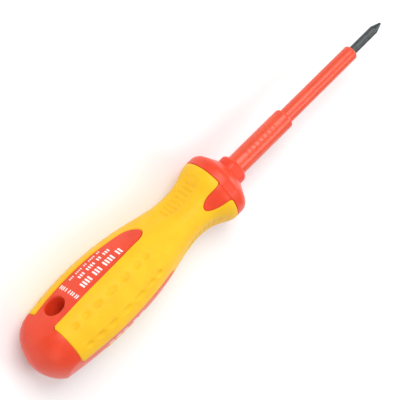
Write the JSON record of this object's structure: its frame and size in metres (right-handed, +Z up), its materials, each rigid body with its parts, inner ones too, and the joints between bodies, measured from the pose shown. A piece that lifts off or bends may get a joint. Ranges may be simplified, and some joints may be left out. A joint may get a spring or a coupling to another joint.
{
  "type": "insulated screwdriver",
  "caption": "Slim insulated cross-tip screwdriver with a two-colour moulded handle, soft ribbed grip, hanging hole and sleeved blade.",
  "frame": {"origin": "middle of the driver's length and width, at the level of the surface that it lies on", "axes": "+X along the blade towards the tip, +Z up, square to the middle of the grip lobe that faces up, +Y towards the side with the hanging hole's panel"},
  "size_m": [0.1656, 0.0278, 0.0264],
  "materials": {
    "oxidised_steel": "dark oxidised, satin",
    "red_insulation": "satin, slightly soft",
    "red_hard_plastic": "satin moulded",
    "yellow_grip": "matt soft overmould",
    "core_plastic": "plain moulded, hidden",
    "white_print": "pad-printed ink"
  },
  "bodies": {
    "root": {"blade": "oxidised_steel", "blade_insulation": "red_insulation", "neck_sleeve": "red_insulation", "mouth_collar": "red_hard_plastic", "handle_core": "core_plastic", "handle_body": "red_hard_plastic", "grip": "yellow_grip"}
  },
  "joints": []
}
